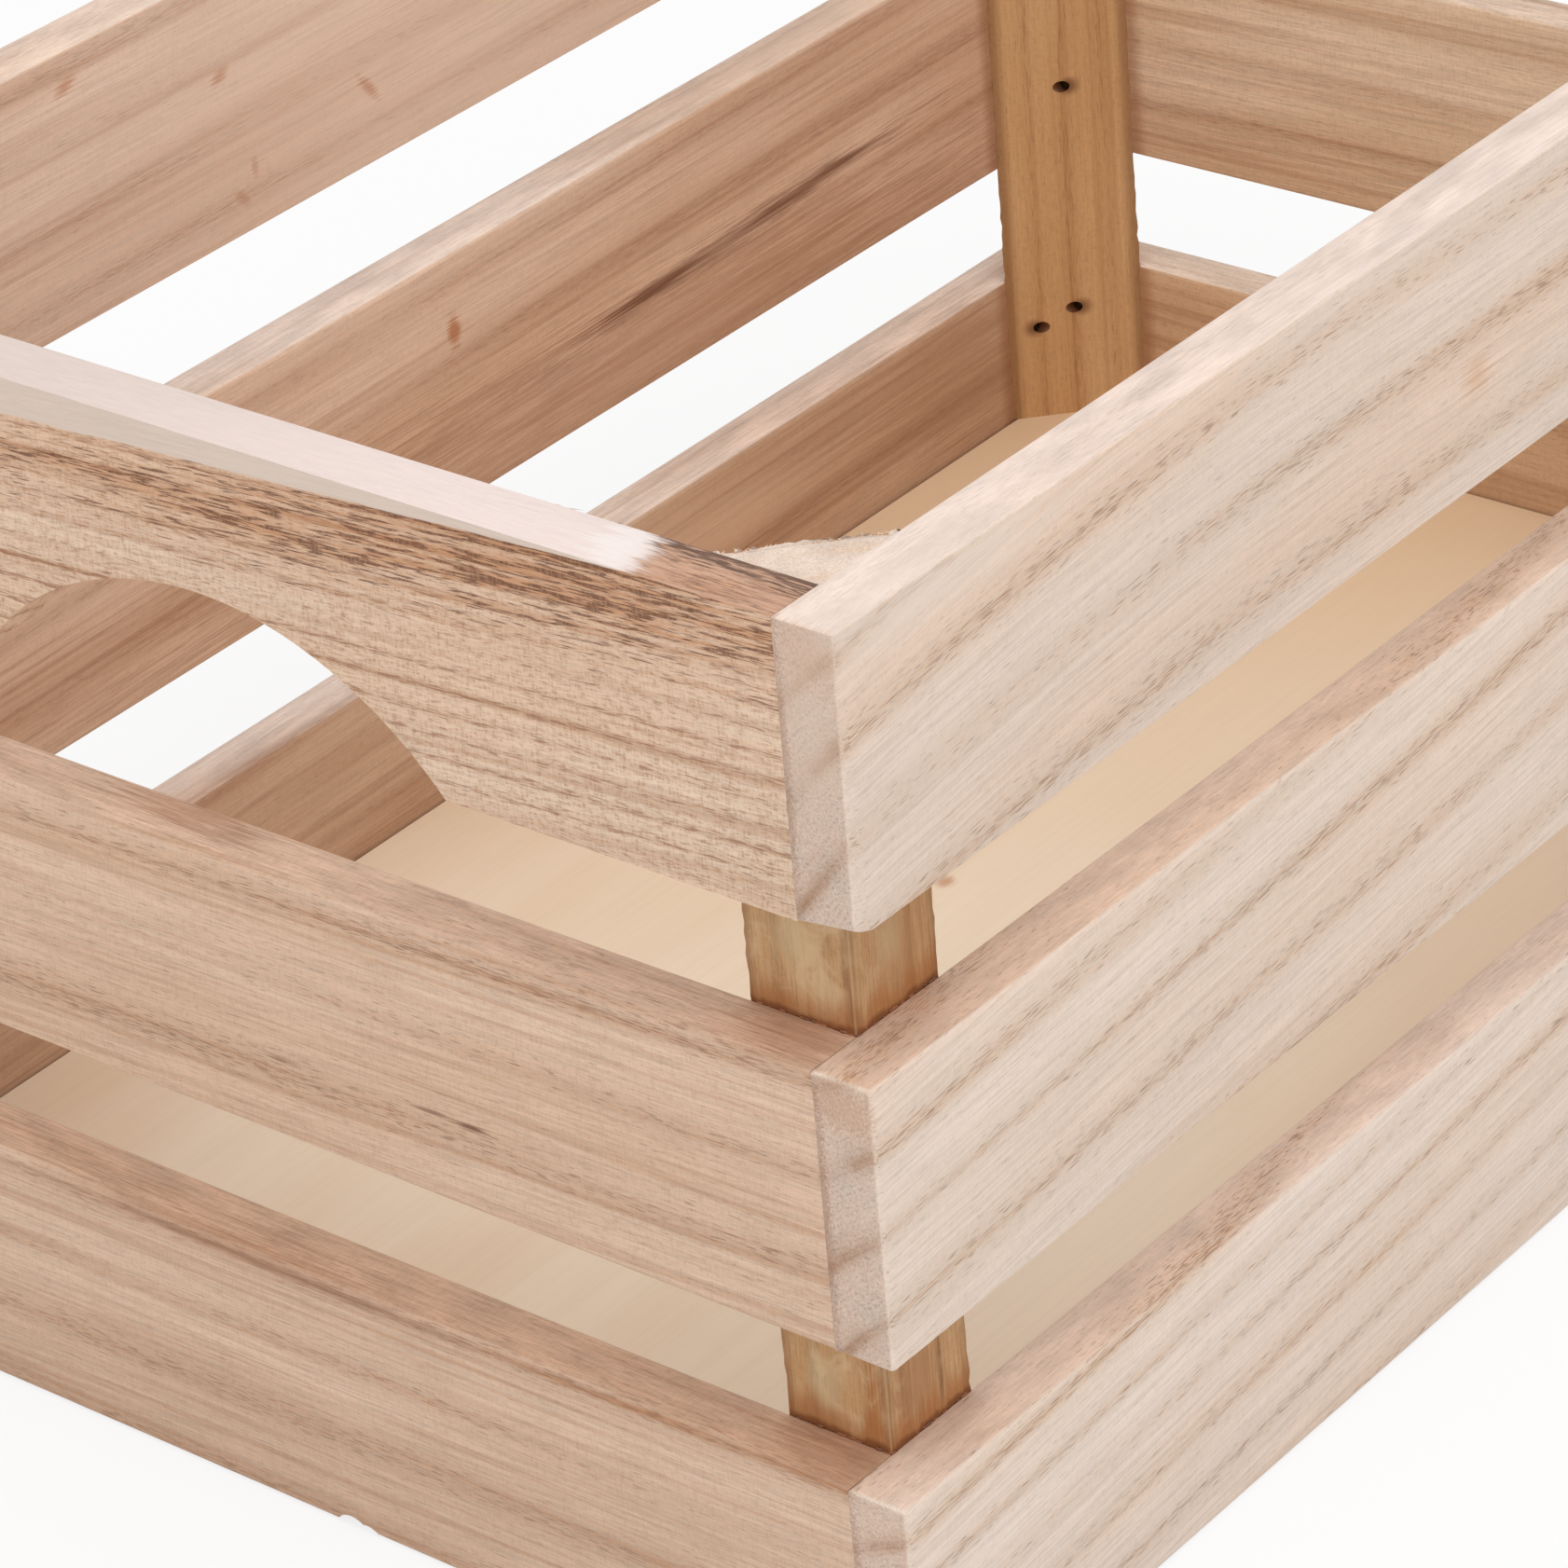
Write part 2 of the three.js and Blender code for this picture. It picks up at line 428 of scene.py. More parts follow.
def model_post(node, face):
    """A square bar, cut corner to corner so that its slanted face looks into the crate."""
    low, high = box_of(node)
    high.z = face.top
    piece = add_block(f"{node}_wood", low, high)
    slice_mesh(piece, [(face.middle, face.inwards)], use_fill=True, clear_outer=True)
    cut_stations(piece, Z_AXIS, POST_STATION)
    return piece


def frame_slanted_face(piece, face):
    """Cuts a narrow strip round the slanted face, so that fraying its edges leaves the faces flat."""
    beside = face.across * (face.half_width - FRAY_STRIP)
    below = face.middle.copy()
    below.z = face.top - FRAY_STRIP
    cuts = [
        (face.middle - face.inwards * FRAY_STRIP, face.inwards),
        (face.middle + beside, face.across),
        (face.middle - beside, face.across),
        (below, UPWARDS),
    ]
    slice_mesh(piece, cuts)


def fray_post(piece, face, seed):
    """Roughens a post's thin edges, and its upper end where the saw came out of the slanted face."""
    divide_edges(piece, face.along_top_edge, FRAY_CUTS)
    fray(piece, face.on_open_top_edge, FRAY_TOP, seed)
    fray(piece, face.on_thin_edge, FRAY_SIDES, seed)


def join_pieces(name, pieces):
    make_active(pieces[0])
    for piece in pieces:
        piece.select_set(True)
    bpy.ops.object.join()
    return name_piece(settle_object(), name)


def tear_fibres(name, tear, seed, root_and_way):
    """Torn fibres, each drawn from its root to its tip, joined into one piece."""
    draw = random.Random(seed)
    splinters = []
    for _ in range(tear.number):
        root, way = root_and_way(*(draw.uniform(*span) for span in (tear.places, tear.turns, tear.rises)))
        way.normalize()
        length = draw.uniform(*tear.lengths) * MM
        bpy.ops.mesh.primitive_cone_add(
            vertices=SPLINTER_SIDES,
            radius1=draw.uniform(*tear.widths) * MM / 2,
            radius2=0,
            depth=length,
            location=root + way * (length / 2),
            rotation=way.to_track_quat("Z", "Y").to_euler(),
        )
        splinters.append(bpy.context.object)
    return join_pieces(name, splinters)


def model_slat_splinters(node):
    """Fibres torn off the inner upper edge of the near end's top slat."""
    high = box_of(node)[1]

    def root_and_way(place, turn, rise):
        root = Vector((high.x - SLAT_TEAR.inside, place, high.z - SLAT_TEAR.below))
        return root, Vector((sin(turn), -cos(turn), rise))

    return tear_fibres(f"{node}_splinters", SLAT_TEAR, SLAT_TEAR_SEED, root_and_way)


def model_post_splinters(node, face, seed):
    """Fibres left standing along the sawn upper edge of a post."""
    edge = face.middle.copy()
    edge.z = face.top - POST_TEAR.below

    def root_and_way(place, turn, rise):
        root = edge + face.across * place * face.half_width - face.inwards * POST_TEAR.inside
        return root, face.inwards + face.across * turn + UPWARDS * rise

    return tear_fibres(f"{node}_splinters", POST_TEAR, seed, root_and_way)


def model_glue_bead():
    """Lumps of squeezed-out glue along two faces of a post, run into one bead from a corner at the origin."""
    draw = random.Random(GLUE_SEED)
    lumps = []
    for axis in (X_AXIS, Y_AXIS):
        for step in range(GLUE_LUMPS):
            place = Vector((0, 0, draw.uniform(*GLUE_RISES) * MM))
            place[axis] = GLUE_LENGTH * (step + draw.uniform(*GLUE_STEPS)) / GLUE_LUMPS
            size = draw.uniform(*GLUE_SIZES)
            stretch = Vector((size, size, size))
            stretch[axis] *= draw.uniform(*GLUE_STRETCH)
            bpy.ops.mesh.primitive_ico_sphere_add(subdivisions=2, radius=1, location=place, scale=stretch)
            lumps.append(bpy.context.object)
    bead = join_pieces("glue", lumps)
    add_modifier(bead, "REMESH", mode="VOXEL", voxel_size=GLUE_VOXEL)
    add_modifier(bead, "SMOOTH", factor=0.5, iterations=GLUE_SETTLING)
    apply_modifiers(bead)
    return bead


def copy_glue_bead(bead, name, place, turn):
    make_active(bead)
    bpy.ops.object.duplicate(linked=False)
    copy = bpy.context.object
    copy.rotation_euler = (0, 0, turn)
    copy.location = place
    return name_piece(settle_object(), name)


# Finishes


def linear_colour(shade):
    """The linear colour that a shader takes, from the three levels of a screen colour, 0 to 255."""

    def linear(level):
        level = level / 255
        return level / 12.92 if level <= 0.04045 else ((level + 0.055) / 1.055) ** 2.4

    return [linear(level) for level in shade] + [1.0]


def at(x, y, z):
    """A place in the crate, from millimetres."""
    return (x * MM, y * MM, z * MM)


class Nodes:
    """A node tree in the making, with short calls for the nodes that the finishes and the stage share."""

    def __init__(self, tree):
        self.tree = tree

    def node(self, kind, inputs=None, **settings):
        made = self.tree.nodes.new(kind)
        for setting, value in settings.items():
            setattr(made, setting, value)
        for socket, value in (inputs or {}).items():
            self.feed(made.inputs[socket], value)
        return made

    def feed(self, socket, value):
        if isinstance(value, bpy.types.NodeSocket):
            self.tree.links.new(value, socket)
        elif socket.type == "RGBA" and len(value) == 3:
            socket.default_value = linear_colour(value)
        else:
            socket.default_value = value

    def math(self, operation, *values):
        inputs = dict(enumerate(values))
        return self.node("ShaderNodeMath", inputs, operation=operation).outputs[0]

    def between(self, value, low, high, start=0.0, end=1.0, steps="SMOOTHSTEP"):
        """A step from start to end, smooth unless asked otherwise, as a value goes from low to high."""
        inputs = {"Value": value, "From Min": low, "From Max": high, "To Min": start, "To Max": end}
        return self.node("ShaderNodeMapRange", inputs, interpolation_type=steps).outputs["Result"]


class Finish(Nodes):
    """A node material in the making, with short calls for what wood, glue and steel share."""

    def __init__(self, name):
        self.material = bpy.data.materials.new(name)
        self.material.use_nodes = True
        super().__init__(self.material.node_tree)
        self.shader = self.tree.nodes["Principled BSDF"]
        self.place = self.node("ShaderNodeTexCoord").outputs["Object"]
        self.along = self.node("ShaderNodeSeparateXYZ", {0: self.place}).outputs
        normal = self.node("ShaderNodeNewGeometry").outputs["Normal"]
        self.normal = self.node("ShaderNodeSeparateXYZ", {0: normal}).outputs

    def laid(self, sizes, place=(0, 0, 0), turn=(0, 0, 0), source=None):
        """Places on the piece, from a point and turned, counted in units of the given sizes."""
        inputs = {"Vector": source or self.place, "Location": place, "Rotation": turn, "Scale": sizes}
        return self.node("ShaderNodeMapping", inputs, vector_type="TEXTURE").outputs["Vector"]

    def moved(self, vector, distance, axis):
        """Places moved along one axis by a distance that changes over the piece."""
        step = self.node("ShaderNodeCombineXYZ", {axis: distance}).outputs[0]
        return self.node("ShaderNodeVectorMath", {0: vector, 1: step}, operation="ADD").outputs[0]

    def noise(self, vector, detail=2.0, roughness=0.5, distortion=0.0):
        inputs = {"Vector": vector, "Scale": 1.0, "Detail": detail, "Roughness": roughness}
        inputs["Distortion"] = distortion
        return self.node("ShaderNodeTexNoise", inputs).outputs["Fac"]

    def from_pore(self, vector):
        """How far a point is from the nearest of many scattered pores."""
        inputs = {"Vector": vector, "Scale": 1.0, "Randomness": 1.0}
        return self.node("ShaderNodeTexVoronoi", inputs).outputs["Distance"]

    def sum(self, first, *others):
        for other in others:
            first = self.math("ADD", first, other)
        return first

    def times(self, first, *others):
        for other in others:
            first = self.math("MULTIPLY", first, other)
        return first

    def mixed(self, share, first, second, mode="MIX"):
        """A colour between two others."""
        inputs = {0: share, 6: first, 7: second}
        return self.node("ShaderNodeMix", data_type="RGBA", blend_type=mode, inputs=inputs).outputs[2]

    def darker(self, colour, *levels):
        """A colour times grey levels or tints."""
        for level in levels:
            colour = self.mixed(1.0, colour, level, "MULTIPLY")
        return colour

    def curve(self, value, stops):
        """A level read off a ramp of (place, level) stops."""
        made = self.node("ShaderNodeValToRGB", {"Fac": value})
        elements = made.color_ramp.elements
        while len(elements) < len(stops):
            elements.new(0.5)
        for element, (place, level) in zip(elements, stops):
            element.position = place
            element.color = (level, level, level, 1)
        return made.outputs["Color"]

    def distance(self, place, reach, turn=(0, 0, 0)):
        """How far a point is from a place, counted in the reach along each axis."""
        vector = self.laid(reach, place, turn)
        return self.node("ShaderNodeVectorMath", {0: vector}, operation="LENGTH").outputs["Value"]

    def spot(self, place, reach, ragged=None, turn=(0, 0, 0)):
        """1 in the middle of an ellipsoid, 0 at its skin and beyond."""
        away = self.distance(place, reach, turn)
        if ragged is not None:
            away = self.sum(away, ragged)
        return self.between(away, 1.0, 0.2)

    def height_over(self, place, upwards, unit=MM):
        """How far a point lies over a plane, in a unit of length."""
        inputs = {0: self.laid((unit, unit, unit), place), 1: upwards}
        return self.node("ShaderNodeVectorMath", inputs, operation="DOT_PRODUCT").outputs["Value"]

    def facing(self, axis):
        """How squarely the surface looks along one axis, either way."""
        return self.math("ABSOLUTE", self.normal[axis])

    def level(self):
        """1 on the faces that lie level."""
        return self.between(self.facing(Z_AXIS), 0.75, 0.95)

    def arris(self):
        """1 on the eased edges, which look along no axis squarely."""
        squarely = self.facing(X_AXIS)
        for axis in (Y_AXIS, Z_AXIS):
            squarely = self.math("MAXIMUM", squarely, self.facing(axis))
        return self.between(squarely, 0.97, 0.85)

    def close(self, colour, roughness, height, depth, strength):
        """Ties the finished colour, roughness and relief to the shader."""
        inputs = {"Height": height, "Distance": depth, "Strength": strength}
        bump = self.node("ShaderNodeBump", inputs).outputs["Normal"]
        for socket, value in (("Base Color", colour), ("Roughness", roughness), ("Normal", bump)):
            self.feed(self.shader.inputs[socket], value)
        return self.material


@dataclass
class Mark:
    """A knot, streak or stain in the wood: an ellipsoid, in millimetres, that may climb along the grain."""

    place: tuple
    reach: tuple
    colour: tuple
    strength: float
    climb: float = 0.0


@dataclass
class Timber:
    """How one stick was sawn from its tree, and its screen colours."""

    pale: tuple
    blush: tuple
    tan: tuple
    pore: tuple
    end_pale: tuple
    end_tan: tuple
    end_pore: tuple
    upper: tuple  # the ground of the sawn upper and lower edges
    anchor: tuple = (0, 0, 0)  # a point on a dark ring line
    ring: float = 11 * MM  # from one growth ring to the next
    slope: float = 0.0  # climb of the grain along the piece
    sweep: float = 0.0  # how far the grain drops in a curve before its anchor
    lean: float = 0.5  # lean of the rings through the thickness, in radians from level
    figure: float = 0.75  # strength of the ring lines
    fine: float = 0.5  # strength of the fine lines between the rings
    streak: float = 0.25  # strength of the soft streaks
    thread: float = 0.10  # depth of the fine fibres
    weave: float = 0.03  # depth of the sanding marks across the grain
    fuzz: float = 0.06  # depth of the raised fibres on the sawn upper and lower edges
    calm: float = 0.0  # how far the figure fades on the sawn upper and lower edges
    hatch: float = 0.15  # strength of the short, close dashes
    pores: float = 0.5  # strength of the dark pores
    crowding: float = 0.21  # how much closer the pores lie on the ring lines
    end_wrap: float = 0.75  # how squarely a face must look along the grain to show end grain
    arris: float = 0.0  # painted highlight: paling of the eased edges
    marks: list = field(default_factory=list)


PITH_DISTANCE = 85 * MM
GRAIN_LENGTH = 260 * MM
SWEEP_REACH = 112 * MM
FIBRE_SCATTER = 10 * MM
PORE_ROW = 0.8 * MM
FINE_SHARE = 0.29  # of a growth ring, from one fine line to the next
WOOD_GLOSS = 0.3

RING_LINE = [(0.0, 0.8), (0.1, 0.8), (0.2, 0.42), (0.36, 0.13), (0.55, 0.0), (0.85, 0.1), (1.0, 0.65)]
FINE_LINE = [(0.0, 0.8), (0.2, 0.3), (0.5, 0.0), (1.0, 0.3)]
PORE_LINE = [(0.0, 1.0), (0.3, 0.9), (0.55, 0.2), (0.85, 0.2), (1.0, 1.0)]


def grain_sizes(axis, along, across):
    sizes = [across, across, across]
    sizes[axis] = along
    return sizes


def climbing(axis, slope):
    """The turn that makes a level line along a slat climb."""
    return Euler((0, -slope, 0)) if axis == X_AXIS else Euler((slope, 0, 0))


class Wood(Finish):
    """Solid wood: growth rings round a pith, pores and fibres along the grain, stippled on the ends."""

    def __init__(self, name, timber, axis, middle):
        super().__init__(name)
        self.timber = timber
        self.axis = axis
        self.middle = middle
        self.thickness_axis = X_AXIS if axis != X_AXIS else Y_AXIS
        self.height_axis = Z_AXIS if axis != Z_AXIS else Y_AXIS
        self.grain = self.straighten_grain()
        self.fibres = self.scatter_fibres()
        self.draw_grain()
        self.colour = self.side_colour()
        self.add_ends()
        self.add_upper_edge()
        self.add_marks()
        self.roughness = self.between(self.thread, 0.3, 0.7, 0.8, 0.62)

    def straighten_grain(self):
        """Places on the piece, moved so that grain which climbs along the piece lies level."""
        timber = self.timber
        along = self.along[self.axis]
        start = timber.anchor[self.axis]
        climb = self.math("MULTIPLY_ADD", along, -timber.slope, timber.slope * start)
        if timber.sweep:
            short = self.between(along, start - SWEEP_REACH, start, 1.0, 0.0, "LINEAR")
            climb = self.sum(climb, self.times(short, short, timber.sweep))
        return self.moved(self.place, climb, self.height_axis)

    def scatter_fibres(self):
        """The straight grain with each fibre shifted along its length, so that none line up."""
        shift = self.bands(800, 0.9, 1.0)
        return self.moved(self.grain, self.times(shift, FIBRE_SCATTER), self.axis)

    def bands(self, along, across, detail=2.0, roughness=0.5, source=None):
        """Soft bands along the grain, by their length and width in millimetres."""
        sizes = grain_sizes(self.axis, along * MM, across * MM)
        return self.noise(self.laid(sizes, self.middle, source=source or self.grain), detail, roughness)

    def dashes(self, along, across, detail=2.0, roughness=0.5):
        """Fine marks along the fibres, by their length and width in millimetres."""
        return self.bands(along, across, detail, roughness, self.fibres)

    def growth_rings(self, share, waver):
        """Rings round the pith of the tree: 0 at each ring's start, rising to 1 at its end."""
        timber = self.timber
        inwards = -1 if self.middle[self.thickness_axis] > 0 else 1
        pith = Vector(self.middle)
        pith[self.thickness_axis] -= inwards * PITH_DISTANCE * sin(timber.lean)
        pith[self.height_axis] -= PITH_DISTANCE * cos(timber.lean)
        spacing = timber.ring * share
        to_anchor = Vector(timber.anchor) - pith
        to_anchor[self.axis] = 0
        sizes = grain_sizes(self.axis, GRAIN_LENGTH, spacing)
        inputs = {
            "Vector": self.laid(sizes, pith, source=self.grain),
            "Scale": pi / 10,
            "Distortion": waver,
            "Detail": 2.0,
            "Detail Scale": 0.8,
            "Detail Roughness": 0.5,
            "Phase Offset": -2 * pi * to_anchor.length / spacing,
        }
        settings = dict(wave_type="RINGS", rings_direction="XYZ"[self.axis], wave_profile="SAW")
        return self.node("ShaderNodeTexWave", inputs, **settings).outputs["Fac"]

    def draw_grain(self):
        strength = self.between(self.bands(160, 9, 3.0), 0.36, 0.62, 0.45, 1.0)
        fine_strength = self.between(self.bands(120, 5), 0.42, 0.66, 0.0, self.timber.fine)
        lines = self.times(self.curve(self.growth_rings(1.0, 1.6), RING_LINE), strength)
        fine_lines = self.times(self.curve(self.growth_rings(FINE_SHARE, 2.0), FINE_LINE), fine_strength)
        self.lines = self.math("MINIMUM", self.sum(lines, fine_lines), 1.0)
        self.thread = self.dashes(12, 0.30, 3.0, 0.6)
        self.streak = self.bands(130, 1.5, 3.0, 0.5)
        self.cross = self.bands(0.36, 1.2, 1.0)
        crowding = self.times(self.lines, self.timber.crowding)
        self.pores = self.between(self.sum(self.dashes(3.2, 0.2, 1.0), crowding), 0.68, 0.80)

    def side_colour(self):
        timber = self.timber
        broad = self.between(self.bands(110, 16), 0.38, 0.62)
        ground = self.mixed(broad, timber.pale, timber.blush)
        broken = self.between(self.thread, 0.38, 0.60, 0.2, 1.15)
        line_share = self.times(self.lines, broken, timber.figure)
        streak_share = self.between(self.streak, 0.46, 0.74, 0.0, timber.streak)
        share = self.math("MINIMUM", self.sum(line_share, streak_share), 1.0)
        colour = self.mixed(share, ground, timber.tan)
        colour = self.darker(colour, self.curve(self.thread, [(0.28, 1 - timber.thread), (0.6, 1.0)]))
        hatch = self.between(self.dashes(1.6, 0.28, 2.0, 0.65), 0.55, 0.36, 0.0, timber.hatch)
        hatch = self.times(hatch, self.between(self.cross, 0.34, 0.6, 1.0, 0.45))
        colour = self.mixed(hatch, colour, timber.tan)
        colour = self.darker(colour, self.curve(self.cross, [(0.3, 1 - timber.weave), (0.62, 1.0)]))
        return self.mixed(self.times(self.pores, timber.pores), colour, timber.pore)

    def add_ends(self):
        """The ends show the rings as bands, and the pores as dots in rows along the rings."""
        timber = self.timber
        clouds = self.noise(self.laid(at(6, 6, 6), self.middle), 2.0)
        rows = self.curve(self.growth_rings(PORE_ROW / timber.ring, 1.2), PORE_LINE)
        crowding = self.times(self.between(clouds, 0.3, 0.6, 0.55, 1.0), rows)
        across = grain_sizes(self.axis, 40 * MM, 0.45 * MM)
        pits = self.between(self.from_pore(self.laid(across, self.middle)), 0.55, 0.25)
        self.pits = self.times(pits, crowding)
        self.dots = self.noise(self.laid(at(0.36, 0.36, 0.36), self.middle), 2.0, 0.75)
        ground = self.mixed(self.between(clouds, 0.35, 0.65), timber.end_pale, END_GREY)
        bands = self.times(self.math("POWER", self.lines, 1.5), 0.9)
        colour = self.mixed(bands, ground, timber.end_tan)
        colour = self.darker(colour, self.curve(self.dots, [(0.3, 0.82), (0.5, 0.98), (0.7, 1.08)]))
        colour = self.mixed(self.times(self.pits, 0.4), colour, timber.end_pore)
        self.ends = self.between(self.facing(self.axis), timber.end_wrap, timber.end_wrap + 0.15)
        self.colour = self.mixed(self.ends, self.colour, colour)

    def add_upper_edge(self):
        timber = self.timber
        if self.axis != Z_AXIS:
            upper, pale = linear_colour(timber.upper), linear_colour(timber.pale)
            tint = [edge / face for edge, face in zip(upper, pale)]
            mottled = self.curve(self.bands(12, 4, 3.0), [(0.3, 0.86), (0.64, 1.06)])
            fuzzy = self.curve(self.dashes(6, 0.4, 3.0, 0.6), [(0.3, 1 - timber.fuzz), (0.58, 1.03)])
            ground = self.colour
            if timber.calm:
                ground = self.mixed(timber.calm, self.colour, timber.pale)
            self.colour = self.mixed(self.level(), self.colour, self.darker(ground, tint, mottled, fuzzy))
        # Painted highlight along the eased edges
        if timber.arris:
            self.tint(timber.pale, timber.arris, self.arris())

    def add_marks(self):
        ragged = self.between(self.thread, 0.3, 0.7, -0.25, 0.25)
        for mark in self.timber.marks:
            turn = climbing(self.axis, mark.climb)
            mask = self.spot(at(*mark.place), at(*mark.reach), ragged, turn)
            self.tint(mark.colour, mark.strength, mask)
        if self.timber.marks:
            fibrous = self.curve(self.thread, [(0.3, 0.88), (0.58, 1.0)])
            self.colour = self.darker(self.colour, fibrous)

    def tint(self, colour, strength, *masks):
        """Mixes a colour in where all of the masks are 1."""
        self.colour = self.mixed(self.times(*masks, strength), self.colour, colour)

    def make(self):
        """Ties the wood's own colour, roughness and relief to the shader."""
        side = self.sum(self.times(self.pores, -1.0), self.times(self.thread, 0.9))
        end = self.sum(self.dots, self.times(self.pits, -0.6))
        height = self.node("ShaderNodeMix", {0: self.ends, 2: side, 3: end}).outputs[0]
        self.shader.inputs["Specular IOR Level"].default_value = WOOD_GLOSS
        return self.close(self.colour, self.roughness, height, 0.1 * MM, 0.35)


PALE = dict(
    pale=(234, 215, 200), blush=(236, 211, 192), tan=(198, 160, 124), pore=(150, 112, 86),
    end_pale=(220, 194, 176), end_tan=(170, 130, 100), end_pore=(142, 104, 82), upper=(233, 214, 202),
    # arris: a painted highlight along the eased edges
    arris=0.15, pores=0.6, crowding=0.24, streak=0.16, fine=0.3, thread=0.07,
)
TAN = dict(
    pale=(227, 195, 169), blush=(221, 186, 157), tan=(182, 135, 100), pore=(126, 82, 57),
    end_pale=(214, 182, 156), end_tan=(160, 120, 92), end_pore=(136, 96, 72), streak=0.45, thread=0.13,
    weave=0.05, fuzz=0.16, hatch=0.28,
)
PINK = dict(
    tan=(180, 134, 104), pore=(132, 90, 65), end_pale=(214, 180, 156), end_tan=(160, 118, 92),
    end_pore=(136, 96, 72), upper=(244, 223, 208), streak=0.38, thread=0.08, pores=0.25, figure=0.5,
)
AMBER = dict(
    pale=(215, 174, 128), blush=(208, 164, 116), tan=(168, 116, 70), pore=(120, 76, 46),
    end_pale=(230, 209, 193), end_tan=(225, 196, 172), end_pore=(214, 178, 152), upper=(224, 205, 194),
    streak=0.4, thread=0.12, hatch=0.3, pores=0.3, figure=0.4, end_wrap=0.4,
)
END_GREY = (214, 194, 178)

# Marks in the wood
MINERAL = (112, 72, 50)
KNOT = (182, 112, 66)
BROWN = (164, 114, 82)
GLOW = (212, 162, 116)
DARK_STREAK = (120, 76, 52)
COVER = (232, 215, 201)
JOINT = (164, 122, 98)
JOINT_STAIN = (172, 121, 84)


def sawn(wood, **changes):
    """A stick of one kind of wood, with what sets it apart."""
    return Timber(**wood | changes)


